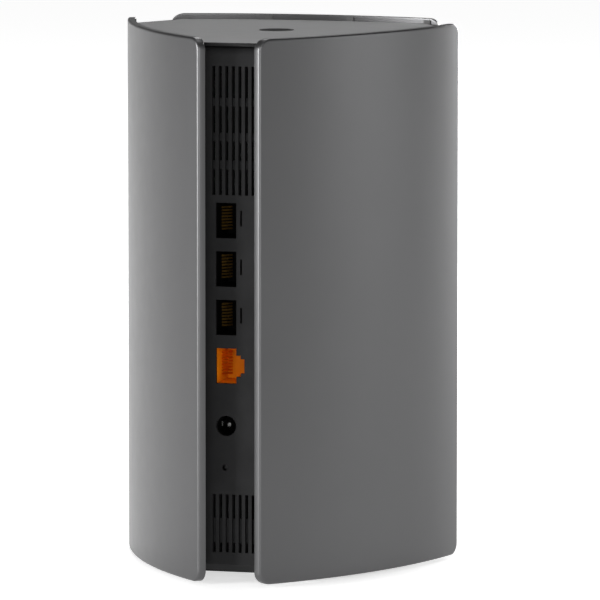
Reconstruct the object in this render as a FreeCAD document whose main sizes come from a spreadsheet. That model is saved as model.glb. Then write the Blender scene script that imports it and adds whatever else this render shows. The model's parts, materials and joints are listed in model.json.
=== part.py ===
import FreeCAD, Part
import math
import os
from types import SimpleNamespace

import Sketcher

# Mesh wifi node: a free-standing three-sided tower. Three curved metal plates stand round a dark core,
# with a dark strip in each gap between two plates. The strip facing +Y carries the sockets.
# Frame: +Z up, origin on the tower's axis at the ground. Millimetres.

Vector = FreeCAD.Vector
Rotation = FreeCAD.Rotation
Placement = FreeCAD.Placement

doc = FreeCAD.newDocument("MeshWifiNode")

# ------------------------------------------------------------------ driving dimensions

DIMENSIONS = [
    # outer plates
    ("plate_foot", 1.0),            # plates' lower edge above the ground
    ("plate_height", 180.0),
    ("plate_radius", 156.9),        # outer face, in plan
    ("plate_reach", 46.67),         # axis to the middle of the outer face
    ("plate_half_width", 47.24),    # straight across, where the plate is trimmed
    ("plate_half_angle", 19.0),     # before it is trimmed
    ("plate_thick", 2.5),
    ("plate_corner_round", 4.0),
    ("plate_edge_round", 0.7),
    # clip strips that hold a plate on its inner wall
    ("clip_depth", 0.4),
    ("clip_half_angle", 0.46),
    ("clip_low", 12.0),
    ("clip_high", 180.4),
    ("clip_step", 10.68),           # angle between neighbours
    # inner walls
    ("wall_thick", 2.0),
    ("wall_low", 3.2),
    ("wall_high", 177.6),
    ("wall_half_angle", 12.7),
    ("wall_screw_x", 16.0),
    ("wall_screw_low", 6.0),
    ("wall_screw_high", 174.7),
    ("wall_screw_seat", 1.8),       # depth of the flat seat under a screw's head
    # corner strips
    ("strip_face", 50.7),           # axis to the strip's face
    ("strip_thick", 3.0),
    ("strip_half_width", 15.2),
    ("strip_low", 3.8),
    ("strip_high", 177.5),
    ("strip_top_round", 2.9),
    ("strip_foot_bevel", 2.1),
    ("port_skin", 1.2),             # strip thickness in front of the sockets
    # louvres
    ("slot_width", 1.05),
    ("slot_pitch", 2.23),
    ("crossbar_recess", 1.5),
    # network sockets, stacked up the strip
    ("socket_pitch", 16.05),
    ("wan_height", 72.05),
    ("socket_width", 15.9),
    ("socket_depth", 21.0),
    ("cavity_half_width", 5.85),
    ("cavity_depth", 13.5),
    ("cavity_latch_side", 0.15),
    ("cavity_contact_side", 7.1),
    ("notch_half_width", 3.55),
    ("notch_end", -1.35),
    ("inner_notch_half_width", 2.4),
    ("inner_notch_end", -2.6),
    ("slit_near", -1.15),           # slit in the strip beside a LAN mouth
    ("slit_far", -1.8),
    ("slit_below", 1.8),
    ("slit_above", 3.35),
    ("housing_latch_side", -3.6),
    # power inlet and reset
    ("jack_height", 52.1),
    ("jack_x", 3.66),
    ("jack_hole", 6.8),
    ("jack_bore", 6.3),
    ("jack_pin", 2.0),
    ("jack_depth", 14.0),
    ("reset_height", 38.2),
    ("reset_x", 4.0),
    ("reset_hole", 2.0),
    # main board, standing in the plane of the port strip's direction
    ("board_x", 10.16),             # face that carries the sockets
    ("board_thick", 1.6),
    ("board_back", -33.0),
    ("board_front", 47.2),
    ("board_low", 9.0),
    ("board_high", 162.0),
    # decks
    ("deck_low", 3.0),
    ("deck_thick", 5.0),
    ("tray_floor", 5.0),
    ("deck_corner", 47.7),          # axis to a deck's cut corner
    ("tray_inset", 4.0),
    ("base_low", 1.2),
    ("base_inset", 6.0),
    ("base_corner", 33.5),
    ("pad_inset", 9.0),
    ("pad_corner", 20.0),
    ("base_screw_radius", 30.0),
    ("frame_low", 172.7),
    ("frame_shoulder", 177.7),
    ("frame_roof", 176.2),
    ("frame_corner", 51.0),
    # top
    ("lid_low", 178.7),
    ("lid_thick", 0.5),
    ("lid_corner", 55.5),
    ("lid_gap", 0.4),               # to the inside of the plates
    ("lens_diameter", 11.6),
    ("pipe_diameter", 8.8),
    # cooling and electronics on the main board
    ("pad_thick", 1.2),
    ("sink_back", -26.0),
    ("sink_front", 30.0),
    ("sink_base", 2.5),
    ("sink_fin", 12.0),
    ("sink_high", 165.0),
    ("shield_rise", 2.6),
    ("shield_wall", 0.4),
    ("antenna_face", 43.2),
    ("antenna_half_width", 9.0),
    ("antenna_thick", 0.8),
    ("led_board_low", 168.4),
    ("led_post_y", 9.0),
    # screws
    ("small_shank", 2.0),
    ("small_head", 4.0),
    ("base_shank", 2.6),
    ("base_head", 5.0),
]

sheet = doc.addObject("Spreadsheet::Sheet", "Dims")
for line, (alias, number) in enumerate(DIMENSIONS, start=1):
    sheet.set(f"A{line}", alias)
    sheet.set(f"B{line}", str(number))
    sheet.setAlias(f"B{line}", alias)
doc.recompute()


class Dim:
    """A size held both as a number and as the spreadsheet expression that drives it."""

    def __init__(self, number, text=None):
        self.number = float(number)
        self.text = text or repr(float(number))

    def _join(self, sign, other, number):
        return Dim(number, f"({self.text} {sign} {other.text})")

    def __add__(self, other):
        other = dim(other)
        return self._join("+", other, self.number + other.number)

    def __sub__(self, other):
        other = dim(other)
        return self._join("-", other, self.number - other.number)

    def __mul__(self, other):
        other = dim(other)
        return self._join("*", other, self.number * other.number)

    def __truediv__(self, other):
        other = dim(other)
        return self._join("/", other, self.number / other.number)

    def __neg__(self):
        return Dim(-self.number, f"(-1 * {self.text})")


def dim(value):
    return value if isinstance(value, Dim) else Dim(value)


size = SimpleNamespace(**{alias: Dim(number, f"Dims.{alias}") for alias, number in DIMENSIONS})

# Worked-out places that several sub-parts share
plate_top = size.plate_foot + size.plate_height
arc_centre = size.plate_radius - size.plate_reach       # plate's arc centre, beyond the axis
wall_inset = size.plate_thick + size.clip_depth         # wall's outer face behind the plate's outer face
deck_inset = wall_inset + size.wall_thick
strip_back = size.strip_face - size.strip_thick
socket_face = size.strip_face - size.port_skin
deck_top = size.deck_low + size.deck_thick
lid_top = size.lid_low + size.lid_thick
lan_height = size.wan_height + size.socket_pitch        # lowest of the three LAN sockets

# Turns about Z from the drawing direction (+Y) to where a plate or a corner strip stands
PLATE_TURN = {"front": 180.0, "right": -60.0, "left": 60.0}
CORNER_TURN = {"port": 0.0, "right": -120.0, "left": 120.0}

# ------------------------------------------------------------------ helpers


def bind(obj, prop, value):
    """Set a property from a Dim, and let the spreadsheet drive it."""
    obj.setExpression(prop, dim(value).text)


def new_body(label, turn=0.0, out=None):
    """A body drawn facing +Y, turned about Z, and moved out along its own facing direction."""
    body = doc.addObject("PartDesign::Body", label)
    body.Placement = Placement(Vector(), Rotation(Vector(0, 0, 1), turn))
    if out is not None:
        body.setExpression("Placement.Base.x", f"-1 * {out.text} * sin({turn} deg)")
        body.setExpression("Placement.Base.y", f"{out.text} * cos({turn} deg)")
    return body


def origin(body, role):
    """One of the body's own origin planes or axes."""
    return next(feature for feature in body.Origin.OriginFeatures if feature.Role == role)


def sketch(body, plane, offset=None):
    drawing = body.newObject("Sketcher::SketchObject", f"{plane[:2]}_sketch")
    drawing.AttachmentSupport = [(origin(body, plane), "")]
    drawing.MapMode = "FlatFace"
    if offset is not None:
        bind(drawing, "AttachmentOffset.Base.z", offset)
    return drawing


def facing(body, distance):
    """A sketch upright across +Y at this distance; its pads go inwards, towards the axis."""
    return sketch(body, "XZ_Plane", -dim(distance))


def level(body, height):
    """A flat sketch at this height; its pads go up."""
    return sketch(body, "XY_Plane", dim(height))


def fix(drawing, kind, *where, value):
    """Add a driven size to a sketch."""
    value = dim(value)
    index = drawing.addConstraint(Sketcher.Constraint(kind, *where, value.number))
    drawing.setExpression(f"Constraints[{index}]", value.text)


def fix_point(drawing, element, point, x, y):
    fix(drawing, "DistanceX", -1, 1, element, point, value=x)
    fix(drawing, "DistanceY", -1, 1, element, point, value=y)


def polygon(drawing, corners):
    """A closed straight-sided outline, each corner placed from the sketch's origin."""
    corners = [(dim(x), dim(y)) for x, y in corners]
    first = drawing.GeometryCount
    count = len(corners)
    for (x0, y0), (x1, y1) in zip(corners, corners[1:] + corners[:1]):
        start = Vector(x0.number, y0.number, 0)
        end = Vector(x1.number, y1.number, 0)
        drawing.addGeometry(Part.LineSegment(start, end), False)
    for i, (x, y) in enumerate(corners):
        drawing.addConstraint(Sketcher.Constraint("Coincident", first + (i - 1) % count, 2, first + i, 1))
        fix_point(drawing, first + i, 1, x, y)


def rectangle(drawing, x0, x1, y0, y1):
    polygon(drawing, [(x0, y0), (x1, y0), (x1, y1), (x0, y1)])


def rounded_rectangle(drawing, x0, x1, y0, y1, radius):
    x0, x1, y0, y1, radius = (dim(value) for value in (x0, x1, y0, y1, radius))
    first = drawing.GeometryCount
    left, right, low, high = x0 + radius, x1 - radius, y0 + radius, y1 - radius
    centres = [(right, high), (left, high), (left, low), (right, low)]
    reach = radius.number
    for i, (x, y) in enumerate(centres):
        round_ = Part.Circle(Vector(x.number, y.number, 0), Vector(0, 0, 1), reach)
        drawing.addGeometry(Part.ArcOfCircle(round_, math.pi / 2 * i, math.pi / 2 * (i + 1)), False)
    for i, away in enumerate(((0, reach), (-reach, 0), (0, -reach), (reach, 0))):
        pair = (centres[i], centres[(i + 1) % 4])
        ends = [Vector(x.number + away[0], y.number + away[1], 0) for x, y in pair]
        drawing.addGeometry(Part.LineSegment(*ends), False)
    for i, (x, y) in enumerate(centres):
        arc, line, following = first + i, first + 4 + i, first + (i + 1) % 4
        drawing.addConstraint(Sketcher.Constraint("Tangent", arc, 2, line, 1))
        drawing.addConstraint(Sketcher.Constraint("Tangent", line, 2, following, 1))
        fix(drawing, "Radius", arc, value=radius)
        fix_point(drawing, arc, 3, x, y)


def circle(drawing, x, y, diameter):
    x, y, diameter = dim(x), dim(y), dim(diameter)
    centre = Vector(x.number, y.number, 0)
    index = drawing.addGeometry(Part.Circle(centre, Vector(0, 0, 1), diameter.number / 2), False)
    fix(drawing, "Diameter", index, value=diameter)
    fix_point(drawing, index, 3, x, y)


def arc_band(drawing, outer, thick, half_angle, middle=0.0):
    """A ring sector about the sketch's origin, centred on the angle `middle` clockwise from +Y."""
    inner = outer - thick
    left = Dim(90.0) - middle + half_angle
    right = Dim(90.0) - middle - half_angle
    for radius in (outer, inner):
        round_ = Part.Circle(Vector(), Vector(0, 0, 1), radius.number)
        span = (math.radians(right.number), math.radians(left.number))
        drawing.addGeometry(Part.ArcOfCircle(round_, *span), False)
    for side in (right, left):
        along = Vector(math.cos(math.radians(side.number)), math.sin(math.radians(side.number)), 0)
        drawing.addGeometry(Part.LineSegment(along * inner.number, along * outer.number), False)
    for arc in (0, 1):
        drawing.addConstraint(Sketcher.Constraint("Coincident", arc, 3, -1, 1))
    for line, end in ((2, 1), (3, 2)):
        drawing.addConstraint(Sketcher.Constraint("Coincident", line, 1, 1, end))
        drawing.addConstraint(Sketcher.Constraint("Coincident", line, 2, 0, end))
        drawing.addConstraint(Sketcher.Constraint("PointOnObject", -1, 1, line))
    fix(drawing, "Radius", 0, value=outer)
    fix(drawing, "Radius", 1, value=inner)
    for line, side in ((2, right), (3, left)):
        index = drawing.addConstraint(Sketcher.Constraint("Angle", line, math.radians(side.number)))
        drawing.setExpression(f"Constraints[{index}]", f"{side.text} * 1 deg")


def core_outline(drawing, inset, corner):
    """The tower's plan, `inset` behind the plates' outer faces, its corners cut at `corner` from the axis."""
    corner = dim(corner)
    radius = size.plate_radius - inset
    centre = arc_centre.number
    # one end of the cut across the +Y corner, where it meets the side that faces 30 degrees
    rise = corner.number + centre * math.sin(math.radians(30))
    run = math.sqrt(radius.number ** 2 - rise ** 2)
    half_cut = run - centre * math.cos(math.radians(30))
    spread = math.degrees(math.atan2(rise, run)) - 30
    for turn in (0, -120, -240):
        spin = Rotation(Vector(0, 0, 1), turn)
        ends = [spin.multVec(Vector(side * half_cut, corner.number, 0)) for side in (-1, 1)]
        drawing.addGeometry(Part.LineSegment(*ends), False)
    for middle in (30, -90, 150):
        away = Vector(math.cos(math.radians(middle)), math.sin(math.radians(middle)), 0)
        round_ = Part.Circle(away * -centre, Vector(0, 0, 1), radius.number)
        span = (math.radians(middle - spread), math.radians(middle + spread))
        drawing.addGeometry(Part.ArcOfCircle(round_, *span), False)
    for i, middle in enumerate((30, -90, 150)):
        drawing.addConstraint(Sketcher.Constraint("Coincident", 3 + i, 2, i, 2))
        drawing.addConstraint(Sketcher.Constraint("Coincident", 3 + i, 1, (i + 1) % 3, 1))
        fix(drawing, "Radius", 3 + i, value=radius)
        centre_x = arc_centre * -math.cos(math.radians(middle))
        centre_y = arc_centre * -math.sin(math.radians(middle))
        fix_point(drawing, 3 + i, 3, centre_x, centre_y)
    drawing.addConstraint(Sketcher.Constraint("Horizontal", 0))
    drawing.addConstraint(Sketcher.Constraint("Angle", 1, math.radians(-120)))
    drawing.addConstraint(Sketcher.Constraint("Angle", 2, math.radians(120)))
    for line in range(3):
        fix(drawing, "Distance", -1, 1, line, value=corner)


def pad(body, drawing, length, reverse=False):
    feature = body.newObject("PartDesign::Pad", "Pad")
    feature.Profile = drawing
    bind(feature, "Length", length)
    feature.Reversed = reverse
    body.Tip = feature
    return feature


def pocket(body, drawing, depth=None, along=False):
    """Cut against the sketch's normal, or along it; right through when no depth is given."""
    feature = body.newObject("PartDesign::Pocket", "Pocket")
    feature.Profile = drawing
    feature.Reversed = along
    if depth is None:
        feature.Type = "ThroughAll"
    else:
        bind(feature, "Length", depth)
    body.Tip = feature
    return feature


def row(body, feature, axis, pitch, count):
    """Repeat a feature in a straight row along one of the body's axes."""
    pattern = body.newObject("PartDesign::LinearPattern", "Row")
    pattern.Originals = [feature]
    pattern.Direction = (origin(body, axis), [""])
    bind(pattern, "Length", dim(pitch) * (count - 1))
    pattern.Occurrences = count
    body.Tip = pattern
    return pattern


def ring(body, *features, count=3, angle=360.0):
    """Repeat features about the body's Z axis."""
    pattern = body.newObject("PartDesign::PolarPattern", "Ring")
    pattern.Originals = list(features)
    pattern.Axis = (origin(body, "Z_Axis"), [""])
    bind(pattern, "Angle", angle)
    pattern.Occurrences = count
    body.Tip = pattern
    return pattern


def dress(body, kind, amount, wanted):
    """Fillet or chamfer the tip's edges for which wanted(point) holds at every point along the edge."""
    doc.recompute()
    base = body.Tip
    names = [f"Edge{i}" for i, edge in enumerate(base.Shape.Edges, start=1)
             if all(wanted(point) for point in edge.discretize(5))]
    feature = body.newObject(f"PartDesign::{kind}", kind)
    feature.Base = (base, names)
    bind(feature, "Radius" if kind == "Fillet" else "Size", amount)
    body.Tip = feature
    return feature


def near(value, target):
    return abs(value - dim(target).number) < 1e-3


def block(label, x0, x1, y0, y1, z0, z1):
    """A plain rectangular piece."""
    box = doc.addObject("Part::Box", label)
    for prop, low, high in (("Length", x0, x1), ("Width", y0, y1), ("Height", z0, z1)):
        bind(box, prop, dim(high) - low)
    for prop, low in (("x", x0), ("y", y0), ("z", z0)):
        bind(box, f"Placement.Base.{prop}", low)
    return box

# ------------------------------------------------------------------ outer plates and inner walls


TRIM_SPARE = 10     # how far the trimming frame runs past the plate


def make_plate(side):
    """A curved plate, trimmed square to its middle: its ends lean outwards beside the corner strips."""
    body = new_body(f"{side}_plate", PLATE_TURN[side], -arc_centre)
    plan = level(body, size.plate_foot - 1)
    arc_band(plan, size.plate_radius, size.plate_thick, size.plate_half_angle)
    pad(body, plan, size.plate_height + 2)
    trim = facing(body, size.plate_radius + 1)
    rectangle(trim, -size.plate_half_width - TRIM_SPARE, size.plate_half_width + TRIM_SPARE,
              size.plate_foot - TRIM_SPARE, plate_top + TRIM_SPARE)
    rounded_rectangle(trim, -size.plate_half_width, size.plate_half_width, size.plate_foot, plate_top,
                      size.plate_corner_round)
    pocket(body, trim, along=True)
    dress(body, "Fillet", size.plate_edge_round, lambda p: near(math.hypot(p.x, p.y), size.plate_radius))
    return body


def make_clips(side):
    """Four narrow strips up the inside of a plate; the middle two hold it to its wall."""
    body = new_body(f"{side}_plate_clips", PLATE_TURN[side], -arc_centre)
    plan = level(body, size.clip_low)
    outer = size.plate_radius - size.plate_thick
    arc_band(plan, outer, size.clip_depth, size.clip_half_angle, middle=size.clip_step * 1.5)
    strip = pad(body, plan, size.clip_high - size.clip_low)
    ring(body, strip, count=4, angle=size.clip_step * 3)
    return body


def wall_screw_circles(drawing, diameter):
    for x in (-size.wall_screw_x, size.wall_screw_x):
        for height in (size.wall_screw_low, size.wall_screw_high):
            circle(drawing, x, height, diameter)


def make_wall(side):
    """The curved inner wall behind a plate, with flat seats for its four screws."""
    body = new_body(f"{side}_wall", PLATE_TURN[side], -arc_centre)
    plan = level(body, size.wall_low)
    outer = size.plate_radius - wall_inset
    arc_band(plan, outer, size.wall_thick, size.wall_half_angle)
    pad(body, plan, size.wall_high - size.wall_low)
    seat = outer - size.wall_screw_seat
    seats = facing(body, seat)
    wall_screw_circles(seats, size.small_head + 0.4)
    pocket(body, seats)
    holes = facing(body, seat)
    wall_screw_circles(holes, size.small_shank)
    pocket(body, holes, along=True)
    return body


def make_wall_screws():
    """Twelve short screws, four through each wall into the deck and the top frame."""
    body = new_body("wall_screws", PLATE_TURN["right"])
    seat = size.plate_reach - wall_inset - size.wall_screw_seat
    heads = facing(body, seat + 0.7)
    wall_screw_circles(heads, size.small_head)
    head = pad(body, heads, 0.7)
    shanks = facing(body, seat)
    wall_screw_circles(shanks, size.small_shank)
    shank = pad(body, shanks, 6.0)
    ring(body, head, shank)
    return body


# ------------------------------------------------------------------ decks and base


def wall_pilots(body, height):
    """Holes for the wall screws in all three sides of a deck."""
    drawing = facing(body, wall_inset - size.plate_reach)
    for x in (-size.wall_screw_x, size.wall_screw_x):
        circle(drawing, x, height, size.small_shank)
    ring(body, pocket(body, drawing, 8.0))


def make_bottom_deck():
    body = new_body("bottom_deck")
    plan = level(body, size.deck_low)
    core_outline(plan, deck_inset, size.deck_corner)
    pad(body, plan, size.deck_thick)
    tray = level(body, deck_top)
    core_outline(tray, deck_inset + size.tray_inset, size.deck_corner - size.tray_inset)
    pocket(body, tray, deck_top - size.tray_floor)
    boss = level(body, size.tray_floor)
    circle(boss, 0, size.base_screw_radius, 7.0)
    ring(body, pad(body, boss, 5.0))
    pilot = level(body, size.deck_low)
    circle(pilot, 0, size.base_screw_radius, size.base_shank)
    ring(body, pocket(body, pilot, 6.2, along=True))
    wall_pilots(body, size.wall_screw_low)
    return body


def make_base_cover():
    """The low plinth the tower stands on, set in from the plates."""
    body = new_body("base_cover")
    plan = level(body, size.base_low)
    core_outline(plan, size.base_inset, size.base_corner)
    pad(body, plan, size.deck_low - size.base_low)
    seat = level(body, size.base_low)
    circle(seat, 0, size.base_screw_radius, size.base_head + 0.3)
    ring(body, pocket(body, seat, 1.1, along=True))
    hole = level(body, size.base_low)
    circle(hole, 0, size.base_screw_radius, size.base_shank)
    ring(body, pocket(body, hole, along=True))
    return body


def make_rubber_pad():
    body = new_body("rubber_pad")
    plan = level(body, 0)
    core_outline(plan, size.pad_inset, size.pad_corner)
    pad(body, plan, size.base_low)
    dress(body, "Chamfer", 0.3, lambda p: near(p.z, 0))
    return body


def make_base_screws():
    body = new_body("base_screws")
    head_plan = level(body, size.base_low)
    circle(head_plan, 0, size.base_screw_radius, size.base_head)
    head = pad(body, head_plan, 1.1)
    shank_plan = level(body, size.base_low + 1.1)
    circle(shank_plan, 0, size.base_screw_radius, size.base_shank)
    shank = pad(body, shank_plan, 6.7)
    ring(body, head, shank)
    return body


def make_top_frame():
    """The dark frame under the lid: a shoulder inside the walls and a flange over them."""
    body = new_body("top_frame")
    shoulder = level(body, size.frame_low)
    core_outline(shoulder, deck_inset, size.deck_corner)
    pad(body, shoulder, size.frame_shoulder - size.frame_low)
    flange = level(body, size.frame_shoulder)
    core_outline(flange, size.plate_thick + 0.8, size.frame_corner)
    pad(body, flange, size.lid_low - size.frame_shoulder)
    hollow = level(body, size.frame_low)
    core_outline(hollow, deck_inset + size.tray_inset, size.deck_corner - size.tray_inset)
    pocket(body, hollow, size.frame_roof - size.frame_low, along=True)
    posts = level(body, size.led_board_low + 1.6)
    for y in (-size.led_post_y, size.led_post_y):
        circle(posts, 0, y, 5.0)
    pad(body, posts, size.frame_roof - size.led_board_low - 1.6)
    pilots = level(body, size.led_board_low + 1.6)
    for y in (-size.led_post_y, size.led_post_y):
        circle(pilots, 0, y, size.small_shank)
    pocket(body, pilots, 5.0, along=True)
    seat = level(body, size.lid_low)
    circle(seat, 0, 0, size.lens_diameter + 0.1)
    pocket(body, seat, 0.5)
    hole = level(body, size.lid_low)
    circle(hole, 0, 0, size.pipe_diameter)
    pocket(body, hole)
    wall_pilots(body, size.wall_screw_high)
    return body


def make_top_plate():
    """The metal lid, set slightly below the plates' upper edges."""
    body = new_body("top_plate")
    plan = level(body, size.lid_low)
    core_outline(plan, size.plate_thick + size.lid_gap, size.lid_corner)
    pad(body, plan, size.lid_thick)
    hole = level(body, lid_top)
    circle(hole, 0, 0, size.lens_diameter + 0.1)
    pocket(body, hole)
    return body


# ------------------------------------------------------------------ corner strips


def louvre(body, low, high, bars):
    """Eight upright slots through a strip, with crossbars set back inside them."""
    slot = facing(body, size.strip_face)
    start = size.slot_pitch * -3.5
    rectangle(slot, start - size.slot_width / 2, start + size.slot_width / 2, low, high)
    row(body, pocket(body, slot, along=True), "X_Axis", size.slot_pitch, 8)
    for bar_low, bar_high in bars:
        bar = facing(body, size.strip_face - size.crossbar_recess)
        rectangle(bar, start - size.slot_width, -start + size.slot_width, bar_low, bar_high)
        pad(body, bar, size.strip_thick - size.crossbar_recess)


def strip_blank(label, turn):
    """The strip without its openings: flat, rounded over at the top and bevelled at the foot."""
    body = new_body(label, turn)
    front = facing(body, size.strip_face)
    rectangle(front, -size.strip_half_width, size.strip_half_width, size.strip_low, size.strip_high)
    pad(body, front, size.strip_thick)
    dress(body, "Fillet", size.strip_top_round,
          lambda p: near(p.z, size.strip_high) and near(p.y, size.strip_face))
    dress(body, "Chamfer", size.strip_foot_bevel,
          lambda p: near(p.z, size.strip_low) and near(p.y, size.strip_face))
    return body


def plug_outline(drawing, height):
    """A network plug's outline lying on its side, its latch towards -X."""
    height = dim(height)
    body_half, notch, inner = size.cavity_half_width, size.notch_half_width, size.inner_notch_half_width
    lower = [
        (size.cavity_contact_side, height - body_half),
        (size.cavity_latch_side, height - body_half),
        (size.cavity_latch_side, height - notch),
        (size.notch_end, height - notch),
        (size.notch_end, height - inner),
        (size.inner_notch_end, height - inner),
    ]
    upper = [
        (size.inner_notch_end, height + inner),
        (size.notch_end, height + inner),
        (size.notch_end, height + notch),
        (size.cavity_latch_side, height + notch),
        (size.cavity_latch_side, height + body_half),
        (size.cavity_contact_side, height + body_half),
    ]
    polygon(drawing, lower + upper)


def make_port_panel():
    body = strip_blank("port_panel", CORNER_TURN["port"])
    louvre(body, 128.6, 171.1, [(136.9, 139.9), (146.2, 149.0), (157.7, 160.5)])
    louvre(body, 9.9, 29.3, [(12.9, 21.1)])
    bay = facing(body, strip_back)
    rectangle(bay, -4.4, size.board_x + size.board_thick + 0.4, size.reset_height - 7, lan_height +
              size.socket_pitch * 2.5 + 0.4)
    pocket(body, bay, size.strip_thick - size.port_skin)
    window = facing(body, size.strip_face)
    plug_outline(window, size.wan_height)
    pocket(body, window, along=True)
    windows = facing(body, size.strip_face)
    rectangle(windows, size.cavity_latch_side, size.cavity_contact_side,
              lan_height - size.cavity_half_width, lan_height + size.cavity_half_width)
    rectangle(windows, size.slit_far, size.slit_near, lan_height - size.slit_below,
              lan_height + size.slit_above)
    row(body, pocket(body, windows, along=True), "Z_Axis", size.socket_pitch, 3)
    holes = facing(body, size.strip_face)
    circle(holes, size.jack_x, size.jack_height, size.jack_hole)
    circle(holes, size.reset_x, size.reset_height, size.reset_hole)
    pocket(body, holes, along=True)
    return body


def make_corner_grille(side):
    body = strip_blank(f"{side}_corner_grille", CORNER_TURN[side])
    louvre(body, 128.6, 171.1, [(136.9, 139.9), (146.2, 149.0), (157.7, 160.5)])
    louvre(body, 9.9, 29.3, [(12.9, 21.1)])
    return body


# ------------------------------------------------------------------ sockets, power inlet and reset


def make_socket(label, height):
    """A network socket's moulded housing, open towards the strip."""
    body = new_body(label)
    front = facing(body, socket_face)
    rectangle(front, size.housing_latch_side, size.board_x,
              height - size.socket_width / 2, height + size.socket_width / 2)
    pad(body, front, size.socket_depth)
    mouth = facing(body, socket_face)
    plug_outline(mouth, height)
    pocket(body, mouth, size.cavity_depth, along=True)
    return body


def make_contacts(label, height):
    """Eight sprung wires leaning from the side of the socket across its far end."""
    body = new_body(label)
    plan = level(body, height - 3.87)
    side, face = size.cavity_contact_side, socket_face
    polygon(plan, [(side, face - 6.0), (side, face - 6.6), (side - 2.7, face - 9.3),
                   (side - 2.9, face - 8.9)])
    row(body, pad(body, plan, 0.6), "Z_Axis", 1.02, 8)
    return body


def make_jack_housing():
    body = new_body("dc_jack_housing")
    front = facing(body, socket_face)
    rectangle(front, size.jack_x - 4.9, size.board_x, size.jack_height - 4.5, size.jack_height + 4.5)
    pad(body, front, size.jack_depth)
    bore = facing(body, socket_face)
    circle(bore, size.jack_x, size.jack_height, size.jack_bore)
    pocket(body, bore, size.jack_depth - 4.5, along=True)
    return body


def make_jack_pin():
    body = new_body("dc_jack_pin")
    tip = facing(body, socket_face - 2.3)
    circle(tip, size.jack_x, size.jack_height, size.jack_pin)
    pad(body, tip, size.jack_depth - 4.5 - 2.3)
    dress(body, "Fillet", 0.6, lambda p: near(p.y, socket_face - 2.3))
    return body


def make_reset_switch():
    body = new_body("reset_switch")
    front = facing(body, 46.0)
    rectangle(front, size.reset_x - 3, size.board_x, size.reset_height - 3.5, size.reset_height + 3.5)
    pad(body, front, 3.8)
    guide = facing(body, 46.0)
    circle(guide, size.reset_x, size.reset_height, 3.1)
    pocket(body, guide, 2.0, along=True)
    return body


def make_reset_button():
    """Plunger that a pin through the strip pushes in; it slides in the switch's guide."""
    body = new_body("reset_button")
    shoulder = facing(body, 46.9)
    circle(shoulder, size.reset_x, size.reset_height, 3.0)
    pad(body, shoulder, 2.4)
    tip = facing(body, 48.4)
    circle(tip, size.reset_x, size.reset_height, 1.2)
    pad(body, tip, 1.5)
    return body


# ------------------------------------------------------------------ main board, cooling and antennas


def upright(body, x):
    """A sketch in the board's plane at this x; its pads go towards +X."""
    return sketch(body, "YZ_Plane", dim(x))


SINK_SCREWS = [(-22, 20), (25, 20), (-22, 152), (25, 152)]


def make_main_board():
    body = new_body("main_board")
    plan = upright(body, size.board_x)
    rectangle(plan, size.board_back, size.board_front, size.board_low, size.board_high)
    pad(body, plan, size.board_thick)
    holes = upright(body, size.board_x)
    for y, z in SINK_SCREWS:
        circle(holes, y, z, size.base_shank)
    pocket(body, holes, along=True)
    return body


def make_heat_sink():
    body = new_body("heat_sink")
    back = size.board_x + size.board_thick + size.pad_thick
    base = upright(body, back)
    rectangle(base, size.sink_back, size.sink_front, size.tray_floor, size.sink_high)
    pad(body, base, size.sink_base)
    fin = level(body, 15.0)
    rectangle(fin, back + size.sink_base, back + size.sink_base + size.sink_fin, -24.7, -23.3)
    row(body, pad(body, fin, 140.0), "Y_Axis", 6.0, 9)
    holes = upright(body, back)
    for y, z in SINK_SCREWS:
        circle(holes, y, z, size.base_shank)
    pocket(body, holes, along=True)
    return body


def make_sink_screws():
    body = new_body("heat_sink_screws")
    heads = upright(body, size.board_x - 1.4)
    shanks = upright(body, size.board_x)
    for y, z in SINK_SCREWS:
        circle(heads, y, z, size.base_head)
        circle(shanks, y, z, size.base_shank)
    pad(body, heads, 1.4)
    pad(body, shanks, size.board_thick + size.pad_thick + size.sink_base)
    return body


# Chips' and shields' places on the board, as y and z ranges
PROCESSOR = (-24, -2, 78, 104)
RADIOS = [(-24, -2, 112, 142), (-24, -2, 30, 60)]


def make_shields(label, areas):
    """Pressed metal cans over parts of the board, open towards it."""
    body = new_body(label)
    cans = upright(body, size.board_x - size.shield_rise)
    hollows = upright(body, size.board_x)
    for y0, y1, z0, z1 in areas:
        rectangle(cans, y0, y1, z0, z1)
        rectangle(hollows, size.shield_wall + y0, dim(y1) - size.shield_wall,
                  size.shield_wall + z0, dim(z1) - size.shield_wall)
    pad(body, cans, size.shield_rise)
    pocket(body, hollows, size.shield_rise - size.shield_wall)
    return body


def make_chips(label, areas, margin, rise):
    body = new_body(label)
    plan = upright(body, size.board_x - rise)
    for y0, y1, z0, z1 in areas:
        rectangle(plan, y0 + margin, y1 - margin, z0 + margin, z1 - margin)
    pad(body, plan, rise)
    return body


def make_thermal_pads():
    body = new_body("thermal_pads")
    plan = upright(body, size.board_x + size.board_thick)
    for y0, y1, z0, z1 in [PROCESSOR] + RADIOS:
        rectangle(plan, y0, y1, z0, z1)
    pad(body, plan, size.pad_thick)
    return body


def make_magnetics():
    """One transformer block behind each network socket."""
    body = new_body("socket_transformers")
    plan = upright(body, size.board_x - 5)
    rectangle(plan, 8, 24, size.wan_height - 6.5, size.wan_height + 6.5)
    row(body, pad(body, plan, 5.0), "Z_Axis", size.socket_pitch, 4)
    return body


def make_capacitors():
    body = new_body("capacitors")
    plan = upright(body, size.board_x - 12)
    circle(plan, 10, 22, 8.0)
    row(body, pad(body, plan, 12.0), "Z_Axis", 11.0, 3)
    return body


def make_antenna(side):
    """A printed antenna board standing behind a corner grille."""
    body = new_body(f"{side}_antenna", CORNER_TURN[side])
    front = facing(body, size.antenna_face)
    rectangle(front, -size.antenna_half_width, size.antenna_half_width, size.tray_floor, size.frame_roof)
    pad(body, front, size.antenna_thick)
    return body


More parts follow.
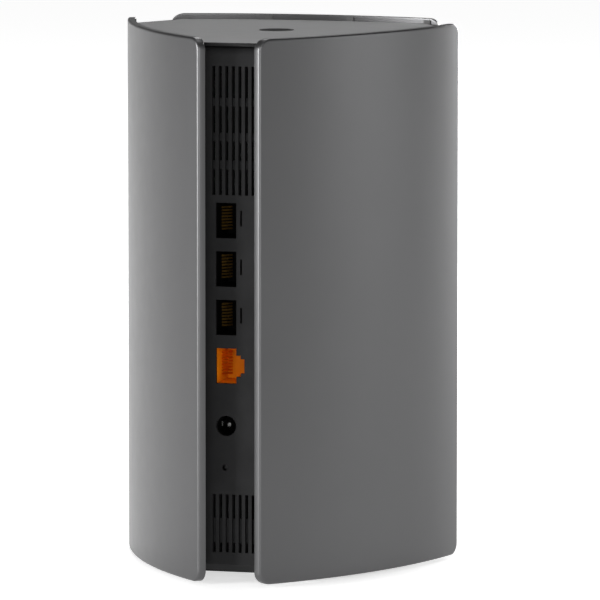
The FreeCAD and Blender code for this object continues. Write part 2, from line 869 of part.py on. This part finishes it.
def make_connectors():
    body = new_body("antenna_connectors")
    plan = upright(body, size.board_x - 1.8)
    for z in (146, 68):
        circle(plan, -28, z, 3.0)
    pad(body, plan, 1.8)
    return body


LEAD_DIAMETER = 1.2
LEAD_BEND = 2.0
ANTENNA_LEADS = [
    [(36.66, -21.16, 146), (32.33, -18.66, 146), (28.5, -28.5, 146), (18, -36.5, 146), (4.5, -36.5, 146),
     (4.5, -28, 146), (8.34, -28, 146)],
    [(-36.66, -21.16, 68), (-31.5, -18.18, 68), (-5, -28, 68), (8.34, -28, 68)],
]


def rounded_route(points, bend):
    """A wire of straight runs with an arc of one radius at each corner."""
    points = [Vector(*point) for point in points]
    edges, last = [], points[0]
    for before, corner, after in zip(points, points[1:], points[2:]):
        back, onward = (before - corner).normalize(), (after - corner).normalize()
        half = back.getAngle(onward) / 2
        start, end = corner + back * (bend / math.tan(half)), corner + onward * (bend / math.tan(half))
        middle = corner + (back + onward).normalize() * (bend / math.sin(half) - bend)
        edges += [Part.makeLine(last, start), Part.Arc(start, middle, end).toShape()]
        last = end
    edges.append(Part.makeLine(last, points[-1]))
    return Part.Wire(edges)


def make_leads():
    """Thin coaxial leads from the two antenna boards to the main board."""
    leads = []
    for points in ANTENNA_LEADS:
        route = rounded_route(points, LEAD_BEND)
        start, direction = route.Edges[0].valueAt(0), route.Edges[0].tangentAt(0)
        ring_ = Part.Wire(Part.makeCircle(LEAD_DIAMETER / 2, start, direction))
        leads.append(route.makePipeShell([ring_], True, True))
    bundle = doc.addObject("Part::Feature", "antenna_leads")
    bundle.Shape = Part.makeCompound(leads)
    bundle.Placement = Placement()
    return bundle


# ------------------------------------------------------------------ status light


def make_light_pipe():
    body = new_body("light_pipe")
    plan = level(body, 172.0)
    circle(plan, 0, 0, size.pipe_diameter)
    pad(body, plan, size.lid_low - 0.5 - 172.0)
    return body


def make_status_lens():
    body = new_body("status_lens")
    plan = level(body, size.lid_low - 0.5)
    circle(plan, 0, 0, size.lens_diameter)
    pad(body, plan, size.lid_thick + 0.55)
    dress(body, "Fillet", 0.3, lambda p: near(p.z, lid_top + 0.05))
    return body


def make_led_screws():
    body = new_body("led_screws")
    heads = level(body, size.led_board_low - 1.2)
    shanks = level(body, size.led_board_low)
    for y in (-size.led_post_y, size.led_post_y):
        circle(heads, 0, y, size.small_head)
        circle(shanks, 0, y, size.small_shank)
    pad(body, heads, 1.2)
    pad(body, shanks, 6.2)
    return body


def make_led_board():
    body = new_body("led_board")
    plan = level(body, size.led_board_low)
    rectangle(plan, -7, 7, -12, 12)
    for y in (-size.led_post_y, size.led_post_y):
        circle(plan, 0, y, size.small_shank)
    pad(body, plan, 1.6)
    return body


# ------------------------------------------------------------------ build, check and export

nodes = []
for side in PLATE_TURN:
    nodes += [make_plate(side), make_clips(side), make_wall(side)]
nodes += [make_wall_screws(), make_bottom_deck(), make_base_cover(), make_rubber_pad(), make_base_screws()]
nodes += [make_top_frame(), make_top_plate(), make_port_panel()]
nodes += [make_corner_grille(side) for side in ("right", "left")]
nodes += [make_socket("wan_socket", size.wan_height), make_contacts("wan_contacts", size.wan_height)]
for number in (1, 2, 3):
    socket_height = lan_height + size.socket_pitch * (number - 1)
    nodes += [make_socket(f"lan_socket_{number}", socket_height)]
    nodes += [make_contacts(f"lan_contacts_{number}", socket_height)]
spring_x = size.jack_x + 2.6
nodes += [
    make_jack_housing(),
    make_jack_pin(),
    block("dc_jack_spring", spring_x, spring_x + 0.4, socket_face - 9.5, socket_face - 4.5,
          size.jack_height - 0.8, size.jack_height + 0.8),
    make_reset_switch(),
    make_reset_button(),
    make_main_board(),
    make_heat_sink(),
    make_sink_screws(),
    make_thermal_pads(),
    make_shields("processor_shield", [PROCESSOR]),
    make_shields("radio_shields", RADIOS),
    make_chips("processor_chip", [PROCESSOR], 3, 1.6),
    make_chips("radio_chips", RADIOS, 5, 1.2),
    make_magnetics(),
    make_capacitors(),
    make_antenna("right"),
    make_antenna("left"),
    make_connectors(),
    make_leads(),
    make_light_pipe(),
    make_status_lens(),
    make_led_board(),
    block("status_led", -1.75, 1.75, -1.75, 1.75, size.led_board_low + 1.6, size.led_board_low + 2.8),
    make_led_screws(),
]
doc.recompute()

for obj in doc.Objects:
    if {"Invalid", "Error"} & set(obj.State):
        raise RuntimeError(f"{obj.Name} is {obj.State}")

os.makedirs("parts", exist_ok=True)
for node in nodes:
    if node.Shape.isNull() or not node.Shape.isValid():
        raise RuntimeError(f"{node.Label} has no valid shape")
    node.Shape.exportStep(f"parts/{node.Label}.step")
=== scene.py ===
import json
import math

import bmesh
import bpy
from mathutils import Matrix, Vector


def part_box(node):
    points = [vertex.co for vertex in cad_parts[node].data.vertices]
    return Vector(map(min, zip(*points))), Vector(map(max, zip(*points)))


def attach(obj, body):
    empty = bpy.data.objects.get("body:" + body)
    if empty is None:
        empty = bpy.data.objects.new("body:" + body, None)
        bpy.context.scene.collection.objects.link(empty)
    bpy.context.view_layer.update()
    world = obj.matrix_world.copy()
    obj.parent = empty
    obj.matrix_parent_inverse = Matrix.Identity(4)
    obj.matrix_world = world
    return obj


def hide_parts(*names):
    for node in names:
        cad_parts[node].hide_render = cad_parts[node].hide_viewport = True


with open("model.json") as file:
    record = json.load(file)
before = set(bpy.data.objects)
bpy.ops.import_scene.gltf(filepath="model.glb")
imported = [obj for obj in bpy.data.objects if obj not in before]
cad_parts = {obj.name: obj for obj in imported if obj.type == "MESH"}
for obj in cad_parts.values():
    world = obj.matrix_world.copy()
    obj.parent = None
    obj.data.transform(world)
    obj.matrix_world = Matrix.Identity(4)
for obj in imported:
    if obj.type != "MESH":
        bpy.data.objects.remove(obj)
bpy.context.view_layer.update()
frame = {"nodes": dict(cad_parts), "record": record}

MM = 0.001
nodes = frame["nodes"]

# ------------------------------------------------------------------ materials


def new_material(name, colour, metallic=0.0, roughness=0.5, **inputs):
    """A Principled material; other shader inputs are given by name with underscores."""
    material = bpy.data.materials.new(name)
    material.use_nodes = True
    shader = material.node_tree.nodes["Principled BSDF"]
    shader.inputs["Base Color"].default_value = (*colour, 1.0)
    shader.inputs["Metallic"].default_value = metallic
    shader.inputs["Roughness"].default_value = roughness
    for key, value in inputs.items():
        shader.inputs[key.replace("_", " ")].default_value = value
    return material


def noise(material, grain, detail=3.0, stretch=(1.0, 1.0, 1.0)):
    """Noise in the object's own space, whose features are about `grain` metres across."""
    tree = material.node_tree
    place = tree.nodes.new("ShaderNodeTexCoord")
    scaled = tree.nodes.new("ShaderNodeMapping")
    scaled.inputs["Scale"].default_value = stretch
    texture = tree.nodes.new("ShaderNodeTexNoise")
    texture.inputs["Scale"].default_value = 1.0 / grain
    texture.inputs["Detail"].default_value = detail
    tree.links.new(place.outputs["Object"], scaled.inputs["Vector"])
    tree.links.new(scaled.outputs["Vector"], texture.inputs["Vector"])
    return texture.outputs["Fac"]


NOISE_LOW, NOISE_HIGH = 0.3, 0.7    # nearly all of the noise lies between these


def remap(material, value, low, high):
    """Stretch a noise value to the range low to high."""
    tree = material.node_tree
    spread = tree.nodes.new("ShaderNodeMapRange")
    spread.inputs["From Min"].default_value = NOISE_LOW
    spread.inputs["From Max"].default_value = NOISE_HIGH
    spread.inputs["To Min"].default_value = low
    spread.inputs["To Max"].default_value = high
    tree.links.new(value, spread.inputs["Value"])
    return spread.outputs["Result"]


def vary_roughness(material, grain, low, high, stretch=(1.0, 1.0, 1.0)):
    shader = material.node_tree.nodes["Principled BSDF"]
    value = remap(material, noise(material, grain, stretch=stretch), low, high)
    material.node_tree.links.new(value, shader.inputs["Roughness"])


def vary_colour(material, grain, dark, light, stretch=(1.0, 1.0, 1.0)):
    tree = material.node_tree
    mix = tree.nodes.new("ShaderNodeMix")
    mix.data_type = "RGBA"
    mix.inputs["A"].default_value = (*dark, 1.0)
    mix.inputs["B"].default_value = (*light, 1.0)
    tree.links.new(remap(material, noise(material, grain, stretch=stretch), 0.0, 1.0), mix.inputs["Factor"])
    tree.links.new(mix.outputs["Result"], tree.nodes["Principled BSDF"].inputs["Base Color"])


def emboss(material, layers):
    """Bump from several noise layers, each (grain, height in metres, stretch)."""
    tree = material.node_tree
    last = None
    for grain, height, stretch in layers:
        bump = tree.nodes.new("ShaderNodeBump")
        bump.inputs["Strength"].default_value = 1.0
        bump.inputs["Distance"].default_value = height
        tree.links.new(noise(material, grain, stretch=stretch), bump.inputs["Height"])
        if last is not None:
            tree.links.new(last, bump.inputs["Normal"])
        last = bump.outputs["Normal"]
    tree.links.new(last, tree.nodes["Principled BSDF"].inputs["Normal"])


EVEN = (1.0, 1.0, 1.0)


def satin_metal(name, dark, light, roughness):
    """Fine-blasted anodised aluminium."""
    material = new_material(name, light, metallic=0.85, roughness=roughness)
    vary_colour(material, 0.035, dark, light)
    vary_roughness(material, 0.006, roughness - 0.01, roughness + 0.01)
    emboss(material, [(0.00035, 0.000002, EVEN)])
    return material


def moulded(name, colour, roughness, grain=0.0004, height=0.00001, **inputs):
    """Injection-moulded plastic with a spark-eroded surface."""
    material = new_material(name, colour, roughness=roughness, **inputs)
    vary_colour(material, 0.012, [c * 0.85 for c in colour], [min(1.0, c * 1.15) for c in colour])
    vary_roughness(material, 0.004, roughness - 0.06, roughness + 0.06)
    emboss(material, [(grain, height, EVEN)])
    return material


def plain_metal(name, colour, roughness, stretch=EVEN):
    material = new_material(name, colour, metallic=1.0, roughness=roughness)
    vary_colour(material, 0.003, [c * 0.85 for c in colour], colour, stretch)
    vary_roughness(material, 0.0015, roughness - 0.08, roughness + 0.08, stretch)
    emboss(material, [(0.0006, 0.000004, stretch)])
    return material


def circuit_board(name):
    """Green solder mask with paler tracks showing through."""
    material = new_material(name, (0.02, 0.11, 0.05), roughness=0.35)
    vary_colour(material, 0.0012, (0.012, 0.08, 0.035), (0.03, 0.16, 0.075), (1.0, 6.0, 1.0))
    vary_roughness(material, 0.0008, 0.25, 0.45)
    emboss(material, [(0.0008, 0.00002, (1.0, 6.0, 1.0))])
    return material


MATERIALS = {
    "plate_metal": satin_metal("plate_metal", (0.103, 0.103, 0.105), (0.107, 0.107, 0.109), 0.36),
    # the plates' inner faces get a lighter copy of the plate metal: a painted highlight for the light they
    # catch above the lid
    "plate_inner_painted_highlight": satin_metal("plate_inner_painted_highlight", (0.30, 0.30, 0.303), (0.32, 0.32, 0.323), 0.40),
    "lid_metal": satin_metal("lid_metal", (0.235, 0.235, 0.237), (0.25, 0.25, 0.252), 0.42),
    "dark_plastic": moulded("dark_plastic", (0.019, 0.019, 0.0195), 0.7, Specular_IOR_Level=0.1),
    "deck_plastic": moulded("deck_plastic", (0.01, 0.01, 0.0105), 0.55, Specular_IOR_Level=0.3),
    "black_socket": moulded("black_socket", (0.002, 0.002, 0.002), 0.7, grain=0.0008, height=0.000004,
                            Specular_IOR_Level=0.05),
    "orange_socket": moulded("orange_socket", (0.85, 0.27, 0.004), 0.5, grain=0.0008, height=0.000004,
                             Specular_IOR_Level=0.1),
    # the gold contacts and the nickel pin are painted far darker than these metals are: painted shade for the
    # shade deep inside the sockets
    "gold_contact": plain_metal("gold_contact", (0.17, 0.10, 0.025), 0.5),
    "nickel": plain_metal("nickel", (0.14, 0.14, 0.137), 0.4),
    "tin_steel": plain_metal("tin_steel", (0.6, 0.6, 0.6), 0.35),
    "screw_steel": plain_metal("screw_steel", (0.2, 0.2, 0.21), 0.4),
    "raw_aluminium": plain_metal("raw_aluminium", (0.6, 0.61, 0.62), 0.4, (1.0, 1.0, 0.05)),
    "clip_tape": moulded("clip_tape", (0.10, 0.10, 0.10), 0.6),
    "foot_rubber": moulded("foot_rubber", (0.018, 0.018, 0.018), 0.8, grain=0.0006, height=0.00004),
    "board_green": circuit_board("board_green"),
    "chip_black": moulded("chip_black", (0.02, 0.02, 0.02), 0.5),
    "thermal_grey": moulded("thermal_grey", (0.3, 0.32, 0.35), 0.8),
    "lens_smoke": moulded("lens_smoke", (0.012, 0.012, 0.013), 0.35, grain=0.004, height=0.000002,
                          Specular_IOR_Level=0.05),
    "light_guide": moulded("light_guide", (0.8, 0.82, 0.83), 0.2, Transmission_Weight=0.7),
    "button_grey": moulded("button_grey", (0.012, 0.012, 0.0125), 0.5),
}
SLOT_OF = {entry["node"]: entry["material_slot"] for entry in frame["record"]["subparts"]}


def paint(piece, slot):
    piece.data.materials.clear()
    piece.data.materials.append(MATERIALS[slot])


for name, node in nodes.items():
    paint(node, SLOT_OF[name])
# the gold contacts inside the orange housing are painted orange: a painted reflection of the housing around
# them
nodes["wan_contacts"].data.materials[0] = plain_metal("gold_contact_painted_orange_reflection", (0.70, 0.17, 0.005), 0.5)

# ------------------------------------------------------------------ pieces


def add_piece(name, mesh, node_name):
    """Put a finished mesh in the scene, on the tower, in place of a CAD node."""
    piece = bpy.data.objects.new(name, mesh)
    bpy.context.scene.collection.objects.link(piece)
    slot = SLOT_OF[node_name]
    paint(piece, slot)
    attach(piece, "tower")
    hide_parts(node_name)
    return piece


MERGE_DISTANCE = 0.001 * MM
FLAT_ANGLE = math.radians(1)
SHARP_ANGLE = math.radians(35)
PLATE_SHARP_ANGLE = math.radians(50)


def smooth(mesh, sharp_angle):
    for face in mesh.polygons:
        face.use_smooth = True
    mesh.set_sharp_from_angle(angle=sharp_angle)


def clean_copy(node_name):
    """A copy of a CAD node with its triangles joined into flat faces."""
    mesh = nodes[node_name].data.copy()
    mesh.name = node_name + "_detail"
    work = bmesh.new()
    work.from_mesh(mesh)
    bmesh.ops.remove_doubles(work, verts=work.verts, dist=MERGE_DISTANCE)
    bmesh.ops.dissolve_limit(work, angle_limit=FLAT_ANGLE, verts=work.verts, edges=work.edges)
    work.to_mesh(mesh)
    work.free()
    smooth(mesh, SHARP_ANGLE)
    return add_piece(node_name + "_detail", mesh, node_name)


def break_edges(piece, width, segments=2):
    bevel = piece.modifiers.new("edges", "BEVEL")
    bevel.width = width
    bevel.segments = segments
    bevel.limit_method = "ANGLE"
    bevel.angle_limit = SHARP_ANGLE
    bevel.harden_normals = True


# ------------------------------------------------------------------ outer plates

PLATE_RADIUS = 156.9 * MM
PLATE_REACH = 46.67 * MM
PLATE_HALF_WIDTH = 47.24 * MM
PLATE_THICK = 2.5 * MM
PLATE_CORNER = 4.0 * MM
PLATE_EDGE = 0.7 * MM
PLATE_BREAK = 0.12 * MM
PLATE_MARGIN = 0.5 * MM     # flat band between a rounded rim and the face inside it
EDGE_STEPS = 8
BREAK_STEPS = 3
PLATE_DIRECTIONS = {"front": -90.0, "right": 30.0, "left": 150.0}


def rounded_outline(half_length, low, high, radius, arc_steps=14, side_steps=40):
    """A rounded rectangle as (along, height) points, anticlockwise, with matching points top and bottom."""
    across = []
    for i in range(arc_steps + 1):
        turn = math.pi / 2 * i / arc_steps
        across.append((-half_length + radius * (1 - math.cos(turn)), radius * (1 - math.sin(turn))))
    inner = half_length - radius
    flat = [(-inner + 2 * inner * i / side_steps, 0.0) for i in range(1, side_steps)]
    columns = across + flat + [(-along, cut) for along, cut in reversed(across)]
    bottom = [(along, low + cut) for along, cut in columns]
    top = [(along, high - cut) for along, cut in reversed(columns)]
    return bottom + top, len(columns)


def plate_mesh(name, direction):
    """A curved metal plate: outer rim rounded over, inner rim just broken, inner face in material 1, a
    lighter copy of the plate metal as a painted highlight.
    """
    low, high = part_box(name)[0].z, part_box(name)[1].z
    spine = math.radians(direction)
    outwards = Vector((math.cos(spine), math.sin(spine), 0))
    sideways = Vector((-math.sin(spine), math.cos(spine), 0))
    # each ring is (inset from the outline, depth from the outer face)
    rings = [(PLATE_EDGE + PLATE_MARGIN, 0.0)]
    for i in range(EDGE_STEPS + 1):
        turn = math.pi / 2 * i / EDGE_STEPS
        rings.append((PLATE_EDGE * (1 - math.sin(turn)), PLATE_EDGE * (1 - math.cos(turn))))
    for i in range(BREAK_STEPS + 1):
        turn = math.pi / 2 * i / BREAK_STEPS
        rings.append((PLATE_BREAK * (1 - math.cos(turn)), PLATE_THICK - PLATE_BREAK * (1 - math.sin(turn))))
    rings.append((PLATE_BREAK + PLATE_MARGIN, PLATE_THICK))
    work = bmesh.new()
    loops = []
    for inset, depth in rings:
        outline, columns = rounded_outline(PLATE_HALF_WIDTH - inset, low + inset, high - inset,
                                           PLATE_CORNER - inset)
        loop = []
        for along, height in outline:
            reach = math.sqrt((PLATE_RADIUS - depth) ** 2 - along ** 2) - PLATE_RADIUS + PLATE_REACH
            loop.append(work.verts.new(outwards * reach + sideways * along + Vector((0, 0, height))))
        loops.append(loop)
    count = len(loops[0])
    for outer, inner in zip(loops, loops[1:]):
        for i in range(count):
            j = (i + 1) % count
            work.faces.new((outer[i], inner[i], inner[j], outer[j]))
    for loop, is_inner in ((loops[0], 0), (loops[-1], 1)):
        for i in range(columns - 1):
            corners = [loop[i], loop[i + 1], loop[count - 2 - i], loop[count - 1 - i]]
            work.faces.new(corners[::-1] if is_inner else corners).material_index = is_inner
    bmesh.ops.recalc_face_normals(work, faces=work.faces)
    mesh = bpy.data.meshes.new(name + "_shell")
    work.to_mesh(mesh)
    work.free()
    smooth(mesh, PLATE_SHARP_ANGLE)
    return mesh


for side, direction in PLATE_DIRECTIONS.items():
    shell = add_piece(f"{side}_plate_shell", plate_mesh(f"{side}_plate", direction), f"{side}_plate")
    # the inner faces take the lighter metal: a painted highlight
    shell.data.materials.append(MATERIALS["plate_inner_painted_highlight"])

# ------------------------------------------------------------------ core and ports

STRIP_BREAK = 0.12 * MM
HOUSING_BREAK = 0.1 * MM
PAD_BREAK = 0.25 * MM

for node_name in ("port_panel", "right_corner_grille", "left_corner_grille"):
    break_edges(clean_copy(node_name), STRIP_BREAK)
for node_name in ("wan_socket", "lan_socket_1", "lan_socket_2", "lan_socket_3", "dc_jack_housing"):
    break_edges(clean_copy(node_name), HOUSING_BREAK)

# the lid is cut from sheet with a sharp cut edge; that edge gets the dark plastic as painted shade for the
# shadowed gap under the lid, so only its faces show bright
lid = clean_copy("top_plate")
lid.data.materials.append(MATERIALS["dark_plastic"])
for face in lid.data.polygons:
    if abs(face.normal.z) < 0.5:
        face.material_index = 1

for node_name in ("top_frame", "base_cover"):
    break_edges(clean_copy(node_name), STRIP_BREAK)
break_edges(clean_copy("rubber_pad"), PAD_BREAK, segments=3)

# ------------------------------------------------------------------ floor, light and camera


FLOOR_HALF = 6.0


def add_floor(near_glow, far_glow, near, far):
    """A white floor that glows a little, more so away from the object, like a lit studio sweep."""
    mesh = bpy.data.meshes.new("floor")
    corners = [(x * FLOOR_HALF, y * FLOOR_HALF, 0) for x, y in ((-1, -1), (1, -1), (1, 1), (-1, 1))]
    mesh.from_pydata(corners, [], [(0, 1, 2, 3)])
    floor = bpy.data.objects.new("floor", mesh)
    bpy.context.scene.collection.objects.link(floor)
    material = new_material("floor_white", (0.92, 0.92, 0.92), roughness=0.8,
                            Emission_Color=(1.0, 1.0, 1.0, 1.0))
    tree = material.node_tree
    place = tree.nodes.new("ShaderNodeTexCoord")
    reach = tree.nodes.new("ShaderNodeVectorMath")
    reach.operation = "LENGTH"
    tree.links.new(place.outputs["Object"], reach.inputs[0])
    glow = tree.nodes.new("ShaderNodeMapRange")
    for socket, value in (("From Min", near), ("From Max", far), ("To Min", near_glow), ("To Max", far_glow)):
        glow.inputs[socket].default_value = value
    tree.links.new(reach.outputs["Value"], glow.inputs["Value"])
    tree.links.new(glow.outputs["Result"], tree.nodes["Principled BSDF"].inputs["Emission Strength"])
    floor.data.materials.append(material)


LIGHT_DISTANCE = 1.6
AIM_HEIGHT = 0.09
# name, azimuth from +X towards +Y and elevation in degrees, width and height in metres, power in watts
LIGHTS = [
    ("key", 40, 8, 0.6, 0.45, 25.0),
    ("front_fill", 105, 10, 1.0, 0.6, 8.0),
    ("left_edge", -50, 8, 0.9, 0.45, 0.6),
    ("right_fill", 190, 8, 0.7, 0.45, 3.0),
    ("right_rim", 252, 8, 0.45, 0.6, 24.0),
    ("back_high", 285, 45, 0.6, 0.6, 5.0),
    ("overhead", 105, 89, 1.0, 1.0, 5.0),
]
WORLD_STRENGTH = 0.04


def add_light(name, azimuth, elevation, width, height, power):
    """A soft box that stands off from the object and faces it."""
    turn, rise = math.radians(azimuth), math.radians(elevation)
    away = Vector((math.cos(rise) * math.cos(turn), math.cos(rise) * math.sin(turn), math.sin(rise)))
    data = bpy.data.lights.new(name, "AREA")
    data.shape = "RECTANGLE"
    data.size = width
    data.size_y = height
    data.energy = power
    light = bpy.data.objects.new(name, data)
    light.location = away * LIGHT_DISTANCE + Vector((0, 0, AIM_HEIGHT))
    light.rotation_euler = (-away).to_track_quat("-Z", "Y").to_euler()
    bpy.context.scene.collection.objects.link(light)


def add_world(strength):
    world = bpy.data.worlds.new("studio")
    world.use_nodes = True
    world.node_tree.nodes["Background"].inputs["Color"].default_value = (1.0, 1.0, 1.0, 1.0)
    world.node_tree.nodes["Background"].inputs["Strength"].default_value = strength
    bpy.context.scene.world = world


CAMERA_AZIMUTH = math.radians(194.974)      # 0 looks along +Y
CAMERA_ELEVATION = math.radians(6.819)
CAMERA_DISTANCE = 2.2296
CAMERA_TARGET = Vector((0, 0, 0.091))
CAMERA_LENS = 397.91
CAMERA_SHIFT = (0.03904, -0.01413)


def add_camera():
    """Long lens, a little above the object, on the side where the port strip faces the viewer."""
    away = Vector((math.sin(CAMERA_AZIMUTH) * math.cos(CAMERA_ELEVATION),
                   -math.cos(CAMERA_AZIMUTH) * math.cos(CAMERA_ELEVATION), math.sin(CAMERA_ELEVATION)))
    data = bpy.data.cameras.new("camera")
    data.lens = CAMERA_LENS
    data.sensor_width = 36.0
    data.shift_x, data.shift_y = CAMERA_SHIFT
    data.clip_end = 50.0
    camera = bpy.data.objects.new("camera", data)
    camera.location = CAMERA_TARGET + away * CAMERA_DISTANCE
    camera.rotation_euler = (-away).to_track_quat("-Z", "Y").to_euler()
    bpy.context.scene.collection.objects.link(camera)
    bpy.context.scene.camera = camera


add_floor(near_glow=0.62, far_glow=0.9, near=0.5, far=1.5)
add_world(WORLD_STRENGTH)
for light in LIGHTS:
    add_light(*light)
add_camera()
bpy.context.scene.view_settings.view_transform = "Standard"
